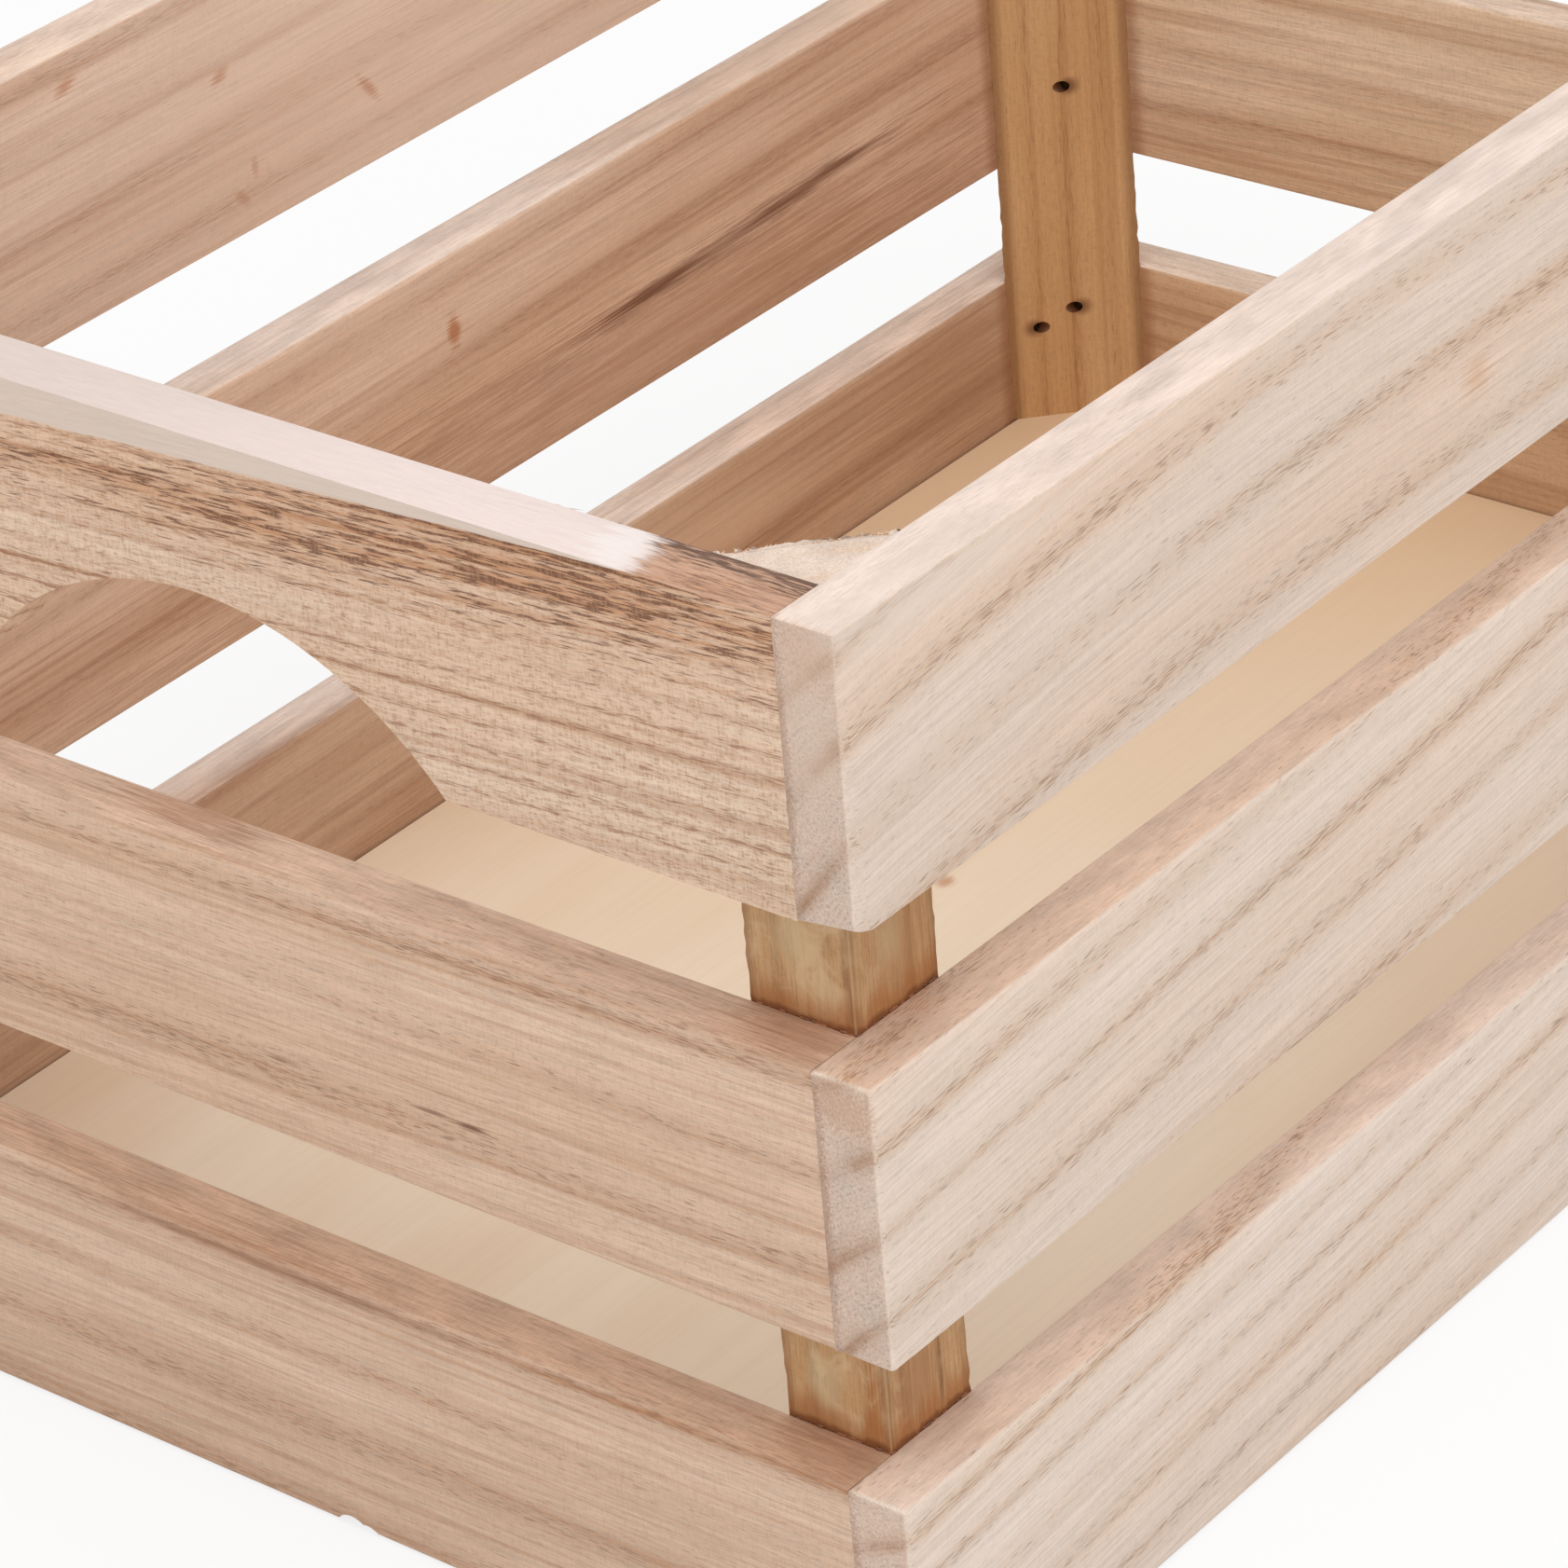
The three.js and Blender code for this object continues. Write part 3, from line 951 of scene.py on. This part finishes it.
TIMBERS = {
    "front_slat_top": sawn(
        PALE, ring=8.6 * MM, sweep=8.5 * MM, lean=0.9, anchor=at(-40, -101, 142), figure=0.64,
        calm=0.65,
        marks=[
            Mark((-22.5, -101, 136.5), (4.5, 4, 3.5), GLOW, 0.45),
            Mark((-135, -101, 159), (34, 6, 5), COVER, 0.65),
            Mark((-152.5, -96.6, 148), (1.2, 6, 15), (222, 197, 177), 0.5),
            Mark((-152.5, -96.6, 158), (1.2, 8, 7), (204, 166, 138), 0.3),
            Mark((-152.5, -92.3, 141), (3, 1.3, 30), JOINT, 0.45),
        ],
    ),
    "front_slat_middle": sawn(
        PALE, pale=(236, 218, 203), blush=(236, 214, 197), upper=(230, 202, 181), ring=9.9 * MM,
        slope=0.085, lean=0.62, anchor=at(-152.5, -101, 79), figure=0.62,
        marks=[
            Mark((-152.5, -96.6, 96.5), (1.2, 8, 5), (192, 152, 122), 0.5),
            Mark((-152.5, -92.3, 80), (3, 1.6, 30), JOINT, 0.55),
        ],
    ),
    "front_slat_bottom": sawn(
        PALE, pale=(236, 220, 207), blush=(235, 215, 199), upper=(235, 213, 197), ring=7.6 * MM,
        slope=0.08, lean=0.5, anchor=at(-131, -101, 28.6), figure=0.6,
        marks=[Mark((-152.5, -92.3, 20), (3, 1.6, 30), JOINT, 0.5)],
    ),
    "back_slat_top": sawn(
        PINK, tan=(190, 146, 118), figure=0.6, pale=(236, 207, 187), blush=(231, 199, 175), ring=9 * MM,
        slope=0.01, anchor=at(-60, 92.2, 137),
        marks=[
            Mark((-5, 92.2, 138), (75, 6, 34), (246, 218, 199), 0.4),
            Mark((-76, 92.2, 156), (3.4, 4, 1.5), KNOT, 0.55, 0.3),
            Mark((-46.5, 92.2, 146), (2.6, 4, 1.4), KNOT, 0.5, 0.3),
            Mark((-17, 92.2, 132.5), (4.2, 4, 1.3), KNOT, 0.5, -0.9),
            Mark((-41.8, 92.2, 130), (1.0, 4, 2.2), KNOT, 0.35),
            Mark((-45, 92.2, 126.5), (2.6, 4, 1.3), KNOT, 0.35, -0.8),
        ],
    ),
    "back_slat_middle": sawn(
        PINK, tan=(166, 118, 86), pale=(231, 199, 175), blush=(218, 181, 153), ring=11 * MM, slope=0.02,
        lean=0.4, anchor=at(0, 92.2, 83),
        marks=[
            # Painted shade: the lower part of this slat darkened, as the back grows darker towards the floor
            Mark((40, 92.2, 66), (150, 9, 15), BROWN, 0.45),
            # Painted light: a pale strip on the upper edge near the far post, lifting the shade that falls
            # there
            Mark((105, 97, 100.5), (60, 8, 1.6), (240, 212, 190), 0.45),
            Mark((-5, 92.2, 88.3), (1.9, 5, 3.6), KNOT, 0.8),
            Mark((60, 92.2, 76.6), (58, 4, 2.8), DARK_STREAK, 0.5, 0.045),
            Mark((40, 92.2, 75.9), (18, 4, 1.3), DARK_STREAK, 0.75, 0.04),
            Mark((82, 92.2, 77.9), (25, 4, 1.4), DARK_STREAK, 0.75, 0.05),
        ],
    ),
    # Painted shade: this slat's colours are darker than those above it, as the back grows darker towards the
    # floor
    "back_slat_bottom": sawn(
        PINK, tan=(150, 104, 74), pale=(210, 177, 150), blush=(200, 163, 134), ring=9 * MM, slope=0.02,
        lean=0.4, anchor=at(83, 92.2, 32.4),
        marks=[
            Mark((44, 92.2, 30), (34, 5, 9), (224, 190, 162), 0.4),
            Mark((112, 92.2, 30), (26, 5, 16), BROWN, 0.3),
        ],
    ),
    "left_slat_top": sawn(
        TAN, pale=(240, 212, 187), blush=(238, 206, 178), pore=(146, 96, 68),
        weave=0.1, hatch=0.65, thread=0.15, upper=(206, 172, 146), ring=3.1 * MM, slope=-0.055,
        lean=0.3, anchor=at(-152.5, -40, 146), pores=0.62, crowding=0.29, figure=0.52,
    ),
    "left_slat_middle": sawn(
        TAN, pale=(231, 200, 175), blush=(226, 192, 164), upper=(229, 195, 170), ring=13 * MM,
        slope=-0.02, lean=0.3, anchor=at(-152.5, 0, 96.2), figure=0.46, pores=0.5,
        marks=[
            Mark((-152.5, -36.3, 73.3), (3, 4.2, 0.75), MINERAL, 0.85),
            Mark((-152.5, -29.6, 73.5), (3, 4.0, 0.55), MINERAL, 0.6),
            Mark((-152.5, -4.3, 72.7), (3, 4.6, 0.6), MINERAL, 0.45),
            Mark((-148, -86, 101), (11, 16, 3), JOINT_STAIN, 0.42),
            Mark((-146, 12, 101), (6, 18, 3), BROWN, 0.6),
        ],
    ),
    "left_slat_bottom": sawn(
        TAN, pale=(227, 197, 173), blush=(219, 188, 163), upper=(222, 187, 160), figure=0.5, pores=0.4,
        ring=12 * MM, slope=-0.012, lean=0.3, anchor=at(-152.5, 0, 37.8),
        marks=[
            Mark((-152.5, 10, 38.5), (8, 60, 3.0), BROWN, 0.4),
            Mark((-152.5, 6, 38.2), (3, 46, 0.9), (136, 94, 68), 0.5),
            Mark((-148, -88, 40.5), (11, 16, 3), JOINT_STAIN, 0.4),
        ],
    ),
    "right_slat_top": sawn(
        TAN, upper=(230, 204, 184), ring=9 * MM, slope=0.03, lean=0.4, anchor=at(143.7, 0, 150),
    ),
    "right_slat_middle": sawn(
        TAN, pale=(240, 214, 188), blush=(231, 202, 172), upper=(243, 219, 200), ring=11 * MM,
        slope=-0.02, lean=0.3, anchor=at(143.7, 60, 70), figure=0.45, pores=0.25,
        marks=[Mark((143.7, 60, 64), (9, 70, 13), BROWN, 0.15)],
    ),
    "right_slat_bottom": sawn(
        TAN, pale=(222, 187, 153), blush=(213, 175, 139), tan=(166, 119, 84), upper=(244, 221, 201),
        ring=10 * MM, slope=0.02, lean=0.4, anchor=at(143.7, 60, 31), figure=0.45, pores=0.25,
    ),
}
POST_TIMBER = sawn(AMBER, ring=6 * MM, lean=0.8)

# The top slat at the near end: its border between dark heartwood and pale sapwood, and the layers of
# the heartwood, as (millimetres over that border, level)
SAP_BORDER = at(-152.5, -54, 160.1)
SAP_UPWARDS = (-0.016, 0.05, 1.0)
HEART_LOW, HEART_HIGH = -17.0, 1.0
HEART_STREAK = [
    (-16, 0.0), (-13.5, 0.16), (-12, 0.34), (-10.8, 0.24), (-9, 0.42), (-7.6, 0.55),
    (-6.4, 0.85), (-5.4, 0.95), (-4.4, 0.45), (-3.2, 0.3), (0, 0.15),
]
HEART_ZONE = [(-6, 0.0), (-4, 0.7), (0, 1.0)]
HEART = (198, 144, 104)
HEART_FLECK = (92, 54, 38)
HEART_UPPER = (202, 163, 139)
HEART_EDGE = (74, 50, 40)
SAP_FACE = (219, 200, 186)
SAP_UPPER = (231, 214, 207)
SAP_UPPER_FAR = (219, 202, 193)
# A glossy run-out on the sapwood: smoother, and paled towards white as a painted highlight
SAP_PAINTED_HIGHLIGHT = (243, 239, 238)
POLISH_AND_HIGHLIGHT_PLACE, POLISH_AND_HIGHLIGHT_REACH = at(-148, -67, 161), at(9, 6, 2)
CORNER_START = at(0, -40, 0)  # the way towards the near corner is counted from here
TORN_STRIP = (-149 * MM, -143.7 * MM)  # across the upper edge, from sound fibres to torn ones


def add_heartwood(slat):
    """Dark heartwood under a strip of pale sapwood, which runs out towards the corner."""
    over = slat.height_over(SAP_BORDER, SAP_UPWARDS)
    wander = slat.between(slat.bands(60, 5), 0.25, 0.75, -0.9, 0.9)
    ragged = slat.between(slat.dashes(9, 0.5, 3.0, 0.6), 0.3, 0.7, -1.0, 1.0)
    span = HEART_HIGH - HEART_LOW
    height = slat.sum(over, wander, slat.times(ragged, 1.5))
    place = slat.math("DIVIDE", slat.math("SUBTRACT", height, HEART_LOW), span)
    streak, zone = (
        slat.curve(place, [((level - HEART_LOW) / span, dark) for level, dark in layers])
        for layers in (HEART_STREAK, HEART_ZONE)
    )
    towards_corner = slat.height_over(CORNER_START, (0, -1, 0))
    near_corner = slat.between(towards_corner, -70, 30, 0.08, 0.8)
    clusters = slat.between(slat.bands(34, 1.1, 3.0, 0.6), 0.36, 0.62, 0.45, 1.3)
    dark = slat.times(slat.sum(streak, slat.times(zone, near_corner)), clusters)
    fading = slat.between(towards_corner, -95, -20, 0.6, 1.0)
    dark = slat.times(slat.math("MINIMUM", dark, 1.0), fading)
    slat.tint(HEART, 0.8, dark)

    flecks = slat.sum(slat.dashes(4.5, 0.3, 2.0, 0.6), slat.times(dark, 0.18))
    in_heart = slat.between(dark, 0.05, 0.35)
    broken = slat.between(slat.cross, 0.34, 0.6, 0.7, 1.0)
    slat.tint(HEART_FLECK, 0.8, slat.between(flecks, 0.61, 0.70), in_heart, broken)

    upper = slat.level()
    fibrous = slat.between(slat.dashes(14, 0.5, 3.0, 0.65), 0.38, 0.62, 1.0, 0.4)
    slat.tint(HEART_UPPER, 0.8, upper, fibrous)
    inner_edge = slat.between(slat.along[X_AXIS], *TORN_STRIP, 0.0, 0.22)
    torn = slat.sum(slat.dashes(8, 0.34, 3.0, 0.7), inner_edge)
    slat.tint(HEART_EDGE, 0.82, slat.between(torn, 0.56, 0.72), upper)

    sapwood = slat.between(slat.sum(over, slat.times(ragged, 0.1)), -0.1, 0.1)
    sap_upper = slat.mixed(slat.between(towards_corner, -70, 8), SAP_UPPER_FAR, SAP_UPPER)
    sap_colour = slat.mixed(upper, SAP_FACE, sap_upper)
    sap_colour = slat.darker(sap_colour, slat.curve(slat.thread, [(0.28, 0.92), (0.6, 1.0)]))
    slat.tint(sap_colour, 1.0, sapwood)
    # Painted highlight on the glossy run-out, which is also made smoother
    polish_and_highlight = slat.spot(POLISH_AND_HIGHLIGHT_PLACE, POLISH_AND_HIGHLIGHT_REACH, slat.times(ragged, 0.4))
    polish_and_highlight = slat.times(polish_and_highlight, sapwood)
    slat.tint(SAP_PAINTED_HIGHLIGHT, 0.35, polish_and_highlight)
    slat.roughness = slat.between(polish_and_highlight, 0.0, 1.0, 0.72, 0.35)


DARK_LINE_BY_POSTS = (150, 98, 60)
DARK_LINE_BY_POSTS_REACH = (3.6 * MM, 0.4 * MM)  # from a post's edge, where a line starts and where it is full


def add_dark_lines_by_posts(slat):
    """Dark lines on the inner face of a slat, along the thin edges of the posts."""
    edge = (INNER_X if slat.axis == X_AXIS else INNER_Y) - POST_LEG
    along = slat.math("ABSOLUTE", slat.along[slat.axis])
    away = slat.math("ABSOLUTE", slat.math("SUBTRACT", along, edge))
    inwards = -1 if slat.middle[slat.thickness_axis] > 0 else 1
    inner = slat.between(slat.times(slat.normal[slat.thickness_axis], inwards), 0.7, 0.9)
    over_floor = slat.between(slat.along[Z_AXIS], FLOOR_TOP - MM, FLOOR_TOP)
    slat.tint(DARK_LINE_BY_POSTS, 0.6, slat.between(away, *DARK_LINE_BY_POSTS_REACH), over_floor, inner)


def slat_wood(node, axis):
    slat = Wood(node, TIMBERS[node], axis, middle_of(node))
    add_dark_lines_by_posts(slat)
    if node == "left_slat_top":
        add_heartwood(slat)
    return slat.make()


SMEAR = (222, 192, 152)
# A dark brown, for stains and for the painted shade of the brad holes
STAIN_AND_HOLE_SHADE = (100, 56, 28)
SEEP = (172, 106, 54)
SEEP_REACH = 5.5 * MM
STAIN_REACH = 1.2 * MM
# Reaches of the painted shade round each brad's mouth and inside its hole
BRAD_MOUTH_SHADE_REACH, HOLE_PAINTED_SHADE_REACH = at(2.6, 2.6, 2.2), at(6, 6, 6)
FAR = 50.0  # a reach without a limit
# Millimetres from a post's middle, where the stain of an edge starts and where it is full
EDGE_STAIN_REACH, THIN_EDGE_REACH = (10.0, 11.3), (8.6, 11.0)
FOOT_STAIN = (122, 68, 34)
EDGE_STAIN = (132, 84, 48)
WORN_AMBER = (226, 192, 148)
HAZE = (206, 178, 140)
NEAR_POST_MARKS = [
    Mark((-143.7, -83, 111), (3, 4, 5), HAZE, 0.6),
    Mark((-143.7, -91.5, 104), (3, 0.8, 7), (124, 72, 36), 0.5),
    Mark((-135, -92.2, 108), (9, 3, 14), (172, 122, 82), 0.4),
    Mark((-136.5, -92.2, 110), (3, 3, 5), HAZE, 0.45),
    Mark((-143.7, -82, 46.5), (3, 3.4, 6.5), HAZE, 0.75),
    Mark((-143.7, -90.2, 47), (3, 1.8, 9), SEEP, 0.6),
    Mark((-133.3, -92.2, 46), (0.9, 3, 8), STAIN_AND_HOLE_SHADE, 0.55),
    Mark((-138, -92.2, 47), (8, 3, 10), (164, 114, 78), 0.55),
]


def brad_mouths(node):
    """Where the brads of a post go in through its slanted face."""
    corner = node.removeprefix("post_")
    mouths = []
    for brad in BRADS:
        if brad.startswith(f"brad_{corner}"):
            low, high = box_of(brad)
            inner = Vector((min(low.x, high.x, key=abs), min(low.y, high.y, key=abs), 0))
            inner.z = (low.z + high.z) / 2
            mouths.append(inner)
    return mouths


def post_wood(node):
    """Amber wood, smeared with glue in the gaps and stained dark along its joints, with painted shade in and
    round its brad holes.
    """
    middle = middle_of(node)
    marks = NEAR_POST_MARKS if node == "post_front_left" else []
    post = Wood(node, replace(POST_TIMBER, marks=marks), Z_AXIS, middle)
    inwards = slanted_face(node).inwards
    towards_x = post.times(post.normal[X_AXIS], inwards.x)
    towards_inside = post.math("MULTIPLY_ADD", post.normal[Y_AXIS], inwards.y, towards_x)
    slanted = post.between(towards_inside, 0.7, 0.9)
    square = post.between(slanted, 0.0, 1.0, 1.0, 0.0)
    smeared = post.noise(post.laid(at(5, 5, 7), middle), 4.0, 0.6, 0.8)
    endwise = post.between(post.facing(X_AXIS), 0.5, 0.9, 0.35, 0.7)
    standing = post.between(post.facing(Z_AXIS), 0.5, 0.3)
    post.tint(SMEAR, 0.8, post.between(smeared, 0.47, 0.66), square, standing, endwise)
    uneven = post.between(post.noise(post.laid(at(2.2, 2.2, 40), middle), 3.0), 0.3, 0.7, -0.3, 0.3)
    for height in GAP_BOTTOMS.values():
        for reach, colour, strength in ((SEEP_REACH, SEEP, 0.62), (STAIN_REACH, FOOT_STAIN, 0.75)):
            post.tint(colour, strength, post.spot((0, 0, height), (FAR, FAR, reach), uneven), square)
    from_middle = post.distance(middle, (MM, MM, FAR))
    post.tint(EDGE_STAIN, 0.5, post.between(from_middle, *EDGE_STAIN_REACH), square)
    post.tint(WORN_AMBER, 0.25, post.arris(), square)
    post.tint(STAIN_AND_HOLE_SHADE, 0.5, post.between(from_middle, *THIN_EDGE_REACH), slanted)
    # Painted shade of the brad holes: a dark ring round each mouth, and the hole's walls darkened
    for mouth in brad_mouths(node):
        post.tint(STAIN_AND_HOLE_SHADE, 0.75, post.spot(mouth, BRAD_MOUTH_SHADE_REACH), slanted)
        post.tint(STAIN_AND_HOLE_SHADE, 1.0, post.spot(mouth, HOLE_PAINTED_SHADE_REACH), square)
    return post.make()


GLUE_BROWNS = ((156, 92, 48), (108, 60, 30))
VENEER = ((246, 232, 212), (240, 221, 195))
# Painted shade: the floor is darkened and warmed towards its back right corner, where the crate's walls shade
# it
VENEER_PAINTED_SHADE = (220, 185, 142)
VENEER_PAINTED_SHADE_REACH = (-60, 140)  # painted shade: millimetres from the floor's middle towards its back right corner
FLOOR_KNOT = Mark((1.4, 11.1, 14.5), (2.6, 2.0, 3), KNOT, 0.6)
STEEL_GREYS = ((84, 76, 68), (52, 46, 40))


def dried_glue():
    """Dark, glossy drops of dried glue."""
    finish = Finish("dried_glue")
    clouds = finish.noise(finish.laid(at(2.5, 2.5, 2.5)), 3.0, 0.6)
    colour = finish.mixed(finish.between(clouds, 0.35, 0.65), *GLUE_BROWNS)
    roughness = finish.between(clouds, 0.3, 0.7, 0.06, 0.2)
    return finish.close(colour, roughness, clouds, 0.1 * MM, 0.2)


def floor_plywood(node):
    """Pale rotary-cut veneer with a broad, faint figure and a pin knot, and painted shade towards the back
    right corner.
    """
    middle = middle_of(node)
    finish = Finish("floor_plywood")
    broad = finish.noise(finish.laid(at(160, 28, 28), middle), 3.0, 0.5, 0.6)
    fine = finish.noise(finish.laid(at(30, 0.8, 0.8), middle), 3.0, 0.6)
    colour = finish.mixed(finish.between(broad, 0.3, 0.7), *VENEER)
    colour = finish.darker(colour, finish.curve(fine, [(0.25, 0.96), (0.6, 1.0)]))
    # Painted shade, deepening towards the back right corner
    to_corner = finish.height_over(at(0, 0, 0), (0.8, 0.6, 0))
    colour = finish.mixed(finish.between(to_corner, *VENEER_PAINTED_SHADE_REACH, 0.0, 0.7), colour, VENEER_PAINTED_SHADE)
    ragged = finish.between(fine, 0.3, 0.7, -0.3, 0.3)
    knot = finish.spot(at(*FLOOR_KNOT.place), at(*FLOOR_KNOT.reach), ragged)
    colour = finish.mixed(finish.times(knot, FLOOR_KNOT.strength), colour, FLOOR_KNOT.colour)
    roughness = finish.between(fine, 0.3, 0.7, 0.7, 0.55)
    finish.shader.inputs["Specular IOR Level"].default_value = WOOD_GLOSS
    return finish.close(colour, roughness, fine, 0.08 * MM, 0.25)


def brad_steel():
    """Drawn wire, dull from the draw plate."""
    finish = Finish("brad_steel")
    speckle = finish.noise(finish.laid(at(0.3, 0.3, 0.3)), 3.0)
    colour = finish.mixed(speckle, *STEEL_GREYS)
    roughness = finish.between(speckle, 0.3, 0.7, 0.32, 0.5)
    finish.shader.inputs["Metallic"].default_value = 1.0
    return finish.close(colour, roughness, speckle, 0.03 * MM, 0.3)


# The crate

for seed, node in enumerate(SIDE_SLATS + END_SLATS):
    axis = X_AXIS if node in SIDE_SLATS else Y_AXIS
    slat = model_slat(node, axis)
    if node in ("left_slat_top", "right_slat_top"):
        saw_arch(slat, node, middle_of(node).y, HAND_HOLD_RISE, HAND_HOLD_RADIUS, HAND_HOLD_SIDES)
    if node == "front_slat_top":
        round_lower_corner(slat, node)
    wear_edges(slat, slat_wear(node), seed)
    if node == "left_slat_bottom":
        for place, rise, radius in CHIPS:
            saw_arch(slat, node, place, rise, radius, CHIP_SIDES)
    drill_brad_holes(slat, node)
    finish_piece(slat, slat_wood(node, axis), node)

near_slat = bpy.data.objects["left_slat_top_wood"]
finish_piece(model_slat_splinters("left_slat_top"), near_slat.data.materials[0])

for seed, node in enumerate(POSTS):
    face = slanted_face(node)
    post = model_post(node, face)
    frame_slanted_face(post, face)
    drill_brad_holes(post, node)
    fray_post(post, face, seed)
    wear_edges(post, post_wear(face), seed)
    wood = post_wood(node)
    finish_piece(post, wood, node)
    finish_piece(model_post_splinters(node, face, seed), wood)

glue_bead = model_glue_bead()
glue = dried_glue()
for turns, corner in enumerate(("front_left", "front_right", "back_right", "back_left")):
    low, high = box_of(f"post_{corner}")
    outer_x = low.x if low.x < 0 else high.x
    outer_y = low.y if low.y < 0 else high.y
    for row, height in GAP_BOTTOMS.items():
        place = Vector((outer_x, outer_y, height))
        bead = copy_glue_bead(glue_bead, f"glue_{corner}_{row}", place, turns * pi / 2)
        finish_piece(bead, glue)
bpy.data.objects.remove(glue_bead)

floor_panel = model_slat("floor_panel", X_AXIS)
wear_edges(floor_panel, lambda point: FLOOR_EDGE, FLOOR_SEED)
drill_brad_holes(floor_panel, "floor_panel")
finish_piece(floor_panel, floor_plywood("floor_panel"), "floor_panel")

steel = brad_steel()
for name in BRADS:
    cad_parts[name].data.materials[0] = steel


# Stage, light and camera

WHITE = (1, 1, 1, 1)
WORLD_LIGHT = 0.72
TABLE_SIZE = 8.0
TABLE_DROP = 0.2 * MM
TABLE_WHITE = (0.88, 0.88, 0.88, 1)
TABLE_GLOW = 0.8  # how far the table shows as plain white, over the shadow that it keeps
SOFTBOX_PLACE = Vector((-0.45, -0.55, 1.65))
SOFTBOX_TARGET = Vector((0, 0, 0.08))
SOFTBOX_SIZE = 1.8
SOFTBOX_WATTS = 17
CAMERA_PLACE = Vector(at(-635.16, -509.44, 506.06))
CAMERA_TARGET = Vector(at(-74.5, -24.6, 80.0))
CAMERA_ROLL = radians(-5.09)
LENS_LENGTH, SENSOR_WIDTH = 148.55, 36


def level_for_seen_rays(nodes, seen, other):
    """One level for the rays that show the background, straight or reflected, and another for the light."""
    rays = nodes.node("ShaderNodeLightPath").outputs
    shown = rays["Is Camera Ray"]
    for kind in ("Is Glossy Ray", "Is Transmission Ray"):
        shown = nodes.math("MAXIMUM", shown, rays[kind])
    return nodes.between(shown, 0.0, 1.0, other, seen, "LINEAR")


def light_world():
    world = bpy.data.worlds.new("Studio")
    world.use_nodes = True
    bpy.context.scene.world = world
    nodes = Nodes(world.node_tree)
    background = world.node_tree.nodes["Background"]
    background.inputs["Color"].default_value = WHITE
    nodes.feed(background.inputs["Strength"], level_for_seen_rays(nodes, 1.0, WORLD_LIGHT))


def lay_table():
    """A white table that keeps a soft shadow of the crate."""
    bpy.ops.mesh.primitive_plane_add(size=TABLE_SIZE, location=(0, 0, -TABLE_DROP))
    table = settle_object()
    table.name = "table"
    material = bpy.data.materials.new("white_table")
    material.use_nodes = True
    tree = material.node_tree
    tree.nodes.remove(tree.nodes["Principled BSDF"])
    nodes = Nodes(tree)
    diffuse = nodes.node("ShaderNodeBsdfDiffuse", {"Color": TABLE_WHITE}).outputs[0]
    glow = nodes.node("ShaderNodeEmission").outputs[0]
    share = level_for_seen_rays(nodes, TABLE_GLOW, 0.0)
    mix = nodes.node("ShaderNodeMixShader", {"Fac": share, 1: diffuse, 2: glow}).outputs[0]
    nodes.feed(tree.nodes["Material Output"].inputs["Surface"], mix)
    table.data.materials.append(material)


def aim(data, place, target, roll=0.0):
    """Puts a lamp or a camera at a place, looking at a target."""
    made = bpy.data.objects.new(data.name, data)
    made.location = place
    turn = (target - place).to_track_quat("-Z", "Y") @ Quaternion(UPWARDS, roll)
    made.rotation_euler = turn.to_euler()
    bpy.context.collection.objects.link(made)
    return made


light_world()
lay_table()

softbox = bpy.data.lights.new("Key softbox", "AREA")
softbox.size = SOFTBOX_SIZE
softbox.energy = SOFTBOX_WATTS
aim(softbox, SOFTBOX_PLACE, SOFTBOX_TARGET)

camera = bpy.data.cameras.new("Camera")
camera.sensor_width = SENSOR_WIDTH
camera.lens = LENS_LENGTH
bpy.context.scene.camera = aim(camera, CAMERA_PLACE, CAMERA_TARGET, CAMERA_ROLL)
bpy.context.scene.view_settings.view_transform = "Standard"
